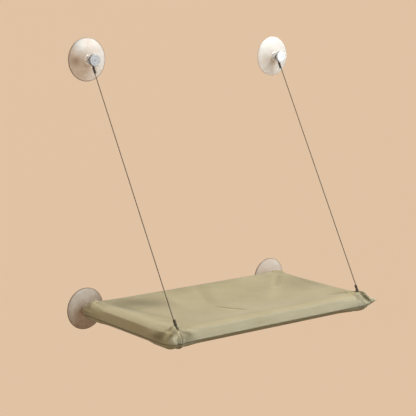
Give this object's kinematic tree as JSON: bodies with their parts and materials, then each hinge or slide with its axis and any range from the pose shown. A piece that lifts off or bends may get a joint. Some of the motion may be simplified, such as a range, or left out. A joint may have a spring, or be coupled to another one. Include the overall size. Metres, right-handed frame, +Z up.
{
  "type": "window mounted cat perch",
  "caption": "Fabric covered shelf for a cat that hangs on a window by suction cups, with its front corners held up by wire ropes.",
  "frame": {"origin": "on the window glass, midway between the centres of the two lower suction cups", "axes": "+Y into the window glass, so the room lies towards -Y; +Z up; +X to the right as seen from the room"},
  "size_m": [0.58, 0.3244, 0.583],
  "materials": {
    "cup_vinyl": "clear soft vinyl, glossy",
    "clear_knob": "clear moulded plastic, glossy",
    "plated_steel": "bright zinc plated",
    "wire_rope": "fine stranded, dull grey",
    "crimp": "pressed, satin",
    "frame_plastic": "white, satin",
    "canvas": "sage green woven canvas, matte",
    "closure_tape": "hook and loop tape, matte"
  },
  "bodies": {
    "window_side": {"upper_left_cup": "cup_vinyl", "upper_left_stud": "plated_steel", "lower_left_cup": "cup_vinyl", "left_inner_washer": "plated_steel", "left_cable": "wire_rope", "left_upper_ferrule": "crimp", "upper_right_cup": "cup_vinyl", "upper_right_stud": "plated_steel", "lower_right_cup": "cup_vinyl", "right_inner_washer": "plated_steel", "right_cable": "wire_rope", "right_upper_ferrule": "crimp"},
    "frame": {"left_lower_ferrule": "crimp", "lower_left_stud": "plated_steel", "lower_left_washer": "plated_steel", "lower_left_nut": "plated_steel", "rear_left_fitting": "frame_plastic", "front_left_elbow": "frame_plastic", "left_side_tube": "frame_plastic", "right_lower_ferrule": "crimp", "lower_right_stud": "plated_steel", "lower_right_washer": "plated_steel", "lower_right_nut": "plated_steel", "rear_right_fitting": "frame_plastic", "front_right_elbow": "frame_plastic", "right_side_tube": "frame_plastic", "front_tube": "frame_plastic", "rear_tube": "frame_plastic", "cover_top_panel": "canvas", "cover_bottom_panel": "canvas", "closure_loop_strip": "closure_tape", "closure_hook_strip": "closure_tape"},
    "left_washer": {"left_outer_washer": "plated_steel"},
    "left_knob_body": {"left_knob": "clear_knob"},
    "right_washer": {"right_outer_washer": "plated_steel"},
    "right_knob_body": {"right_knob": "clear_knob"}
  },
  "joints": [
    {"name": "frame_lift", "type": "hinge", "parent": "window_side", "child": "frame", "pos_m": [0, -0.0118, 0], "axis": [-1, 0, 0], "range_deg": [0, 15], "deforming": ["lower_left_cup", "lower_right_cup", "left_cable", "right_cable"]},
    {"name": "left_washer_slide", "type": "slide", "parent": "window_side", "child": "left_washer", "axis": [0, -1, 0], "range_m": [0, 0.0051]},
    {"name": "left_knob_turn", "type": "hinge", "parent": "left_washer", "child": "left_knob_body", "pos_m": [-0.2425, -0.025, 0.498], "axis": [0, -1, 0], "range_deg": [0, 1800]},
    {"name": "right_washer_slide", "type": "slide", "parent": "window_side", "child": "right_washer", "axis": [0, -1, 0], "range_m": [0, 0.0051]},
    {"name": "right_knob_turn", "type": "hinge", "parent": "right_washer", "child": "right_knob_body", "pos_m": [0.2425, -0.025, 0.498], "axis": [0, -1, 0], "range_deg": [0, 1800]}
  ],
  "couplings": [
    {"joint": "left_washer_slide", "follows": "left_knob_turn", "m_per_rad": 0.00015915},
    {"joint": "right_washer_slide", "follows": "right_knob_turn", "m_per_rad": 0.00015915}
  ]
}
